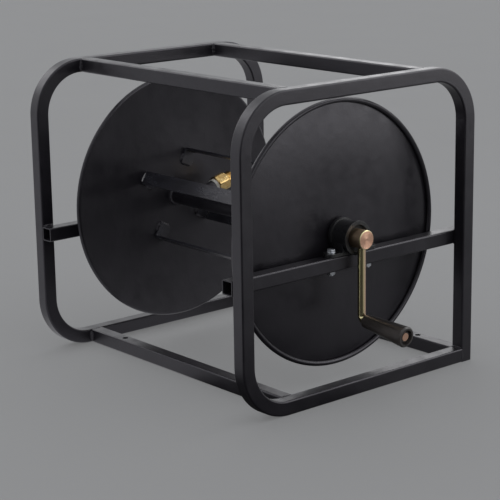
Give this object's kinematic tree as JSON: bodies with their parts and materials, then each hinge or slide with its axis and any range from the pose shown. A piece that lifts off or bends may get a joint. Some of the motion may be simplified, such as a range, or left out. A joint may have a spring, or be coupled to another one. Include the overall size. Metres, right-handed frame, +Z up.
{
  "type": "hose reel",
  "caption": "Free-standing square-tube frame carrying a sheet-steel hose drum on bearings, with a hand crank, spinning grip, swivel water inlet and drum outlet.",
  "frame": {"origin": "on the floor, at the centre of the bolt-down holes in the base bars", "axes": "+X along the axle towards the crank, +Y towards the rear, where the end frames have their square corner, +Z up"},
  "size_m": [0.7472, 0.54, 0.54],
  "materials": {
    "powder_coat": "satin black powder coat",
    "bearing_black": "black painted casting",
    "bush_nylon": "black nylon",
    "bright_zinc": "bright zinc plate",
    "yellow_zinc": "yellow passivated zinc plate",
    "grip_plastic": "black moulded plastic",
    "hose_brass": "machined brass",
    "seal_rubber": "black rubber",
    "seal_fibre": "pale sealing washer"
  },
  "bodies": {
    "frame": {"crank_end_frame": "powder_coat", "inlet_end_frame": "powder_coat", "top_front_bar": "powder_coat", "top_rear_bar": "powder_coat", "base_front_bar": "powder_coat", "base_rear_bar": "powder_coat", "crank_side_rail": "powder_coat", "inlet_side_rail": "powder_coat", "crank_side_bearing": "bearing_black", "inlet_side_bearing": "bearing_black", "crank_side_bush": "bush_nylon", "inlet_side_bush": "bush_nylon", "bearing_bolts": "bright_zinc", "bearing_washers": "bright_zinc", "bearing_nuts": "bright_zinc"},
    "drum": {"crank_side_disc": "powder_coat", "inlet_side_disc": "powder_coat", "drum_bar_1": "powder_coat", "drum_bar_2": "powder_coat", "drum_bar_3": "powder_coat", "drum_bar_4": "powder_coat", "axle_tube": "powder_coat", "crank_shaft": "yellow_zinc", "inlet_spindle": "yellow_zinc", "crank_side_spacer": "powder_coat", "inlet_side_collar": "powder_coat", "collar_screw": "bright_zinc", "crank_rod": "yellow_zinc", "grip_retainer": "grip_plastic", "outlet_stub": "powder_coat", "outlet_washer": "seal_fibre", "outlet_fitting": "hose_brass", "swivel_seals": "seal_rubber", "swivel_thrust_washer": "bright_zinc", "swivel_circlip": "bright_zinc"},
    "grip": {"crank_grip": "grip_plastic"},
    "swivel": {"swivel_body": "hose_brass", "inlet_washer": "seal_fibre", "inlet_fitting": "hose_brass"}
  },
  "joints": [
    {"name": "crank_turn", "type": "hinge", "parent": "frame", "child": "drum", "pos_m": [0, -0.0465, 0.269], "axis": [1, 0, 0], "continuous": true},
    {"name": "grip_spin", "type": "hinge", "parent": "drum", "child": "grip", "pos_m": [0.34229, -0.0465, 0.12421], "axis": [0.9962, 0, -0.0872], "continuous": true},
    {"name": "swivel_turn", "type": "hinge", "parent": "frame", "child": "swivel", "pos_m": [-0.3183, -0.0465, 0.269], "axis": [1, 0, 0], "continuous": true}
  ]
}
